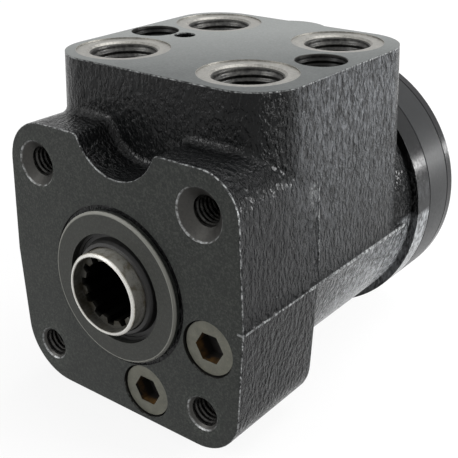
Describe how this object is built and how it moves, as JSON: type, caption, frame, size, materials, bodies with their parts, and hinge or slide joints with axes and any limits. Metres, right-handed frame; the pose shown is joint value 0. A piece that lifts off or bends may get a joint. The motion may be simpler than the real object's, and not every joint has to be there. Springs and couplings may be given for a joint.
{
  "type": "orbital steering unit",
  "caption": "Hydrostatic steering unit: cast housing with square column flange and port face, splined rotary spool and sleeve, gerotor metering set under a bolted end cover.",
  "frame": {"origin": "on the shaft axis, in the plane of the machined column flange", "axes": "-Y out of the column flange towards the steering column, +Y back to the end cover, +Z out of the port face, +X to the right when facing the flange"},
  "size_m": [0.086, 0.1307, 0.1],
  "materials": {
    "cast_paint": "gloss black paint over a rough casting, with machined faces left dark and bare",
    "painted_disc": "smooth satin black paint",
    "black_paint": "gloss black paint",
    "ground_steel": "ground, hardened",
    "bearing_steel": "polished",
    "spring_steel": "blued",
    "bolt_zinc": "painted over with the unit, satin black",
    "plug_zinc": "phosphated, brown-grey, rust in the socket",
    "washer_metal": "copper under black paint",
    "rubber": "matt black",
    "ptfe": "bronze-filled PTFE"
  },
  "bodies": {
    "housing": {"housing": "cast_paint", "dust_seal": "rubber", "shaft_seal": "ptfe", "shaft_seal_o_ring": "rubber", "bearing_race_front": "bearing_steel", "housing_o_ring": "rubber", "distribution_plate": "painted_disc", "gear_rim": "painted_disc", "cover_o_ring": "rubber", "end_cover": "black_paint", "cover_bolts": "bolt_zinc", "pin_bolt": "bolt_zinc", "bolt_washers": "washer_metal", "shock_plug_right": "plug_zinc", "shock_plug_lower": "plug_zinc", "shock_plug_seals": "rubber", "shock_spring_right": "spring_steel", "shock_spring_lower": "spring_steel", "check_bush": "ground_steel"},
    "bearing_cage": {"bearing_cage": "bearing_steel", "bearing_needles": "bearing_steel"},
    "sleeve": {"sleeve": "ground_steel", "cross_pin": "bearing_steel", "flat_leaf_springs": "spring_steel", "bowed_leaf_springs": "spring_steel", "spring_ring": "ground_steel", "bearing_race_rear": "bearing_steel"},
    "spool": {"spool": "ground_steel"},
    "cardan_spacer": {"cardan_spacer": "ground_steel"},
    "rotor": {"rotor": "ground_steel"},
    "cardan_shaft": {"cardan_shaft": "ground_steel"},
    "check_ball": {"check_ball": "bearing_steel"},
    "shock_poppet_right": {"shock_poppet_right": "ground_steel"},
    "shock_poppet_lower": {"shock_poppet_lower": "ground_steel"}
  },
  "joints": [
    {"name": "sleeve_turn", "type": "hinge", "parent": "housing", "child": "sleeve", "pos_m": [0, 0.04, 0], "axis": [0, 1, 0], "continuous": true},
    {"name": "bearing_cage_roll", "type": "hinge", "parent": "housing", "child": "bearing_cage", "pos_m": [0, 0.01447, 0], "axis": [0, 1, 0], "continuous": true},
    {"name": "spool_lead", "type": "hinge", "parent": "sleeve", "child": "spool", "pos_m": [0, 0.04, 0], "axis": [0, 1, 0], "range_deg": [-10.5, 10.5], "stiffness_Nm_per_rad": 10, "deforming": ["flat_leaf_springs", "bowed_leaf_springs"]},
    {"name": "spacer_orbit", "type": "hinge", "parent": "housing", "child": "cardan_spacer", "pos_m": [0, 0.11085, 0], "axis": [0, 1, 0], "continuous": true},
    {"name": "rotor_spin", "type": "hinge", "parent": "cardan_spacer", "child": "rotor", "pos_m": [0, 0.11085, 0.003], "axis": [0, 1, 0], "continuous": true},
    {"name": "cardan_spin", "type": "hinge", "parent": "cardan_spacer", "child": "cardan_shaft", "pos_m": [0, 0.04, 0], "axis": [0, 0.9991, 0.0423], "continuous": true},
    {"name": "check_ball_lift", "type": "slide", "parent": "housing", "child": "check_ball", "axis": [0, 0, 1], "range_m": [-0.003, 0]},
    {"name": "shock_lift_right", "type": "slide", "parent": "housing", "child": "shock_poppet_right", "axis": [0, -1, 0], "range_m": [0, 0.002], "stiffness_N_per_m": 20000, "springref_m": -0.002, "deforming": ["shock_spring_right"]},
    {"name": "shock_lift_lower", "type": "slide", "parent": "housing", "child": "shock_poppet_lower", "axis": [0, -1, 0], "range_m": [0, 0.002], "stiffness_N_per_m": 20000, "springref_m": -0.002, "deforming": ["shock_spring_lower"]}
  ],
  "couplings": [
    {"joint": "bearing_cage_roll", "follows": "sleeve_turn", "ratio": 0.5},
    {"joint": "spacer_orbit", "follows": "sleeve_turn", "ratio": -6},
    {"joint": "rotor_spin", "follows": "sleeve_turn", "ratio": 7},
    {"joint": "cardan_spin", "follows": "sleeve_turn", "ratio": 7}
  ]
}
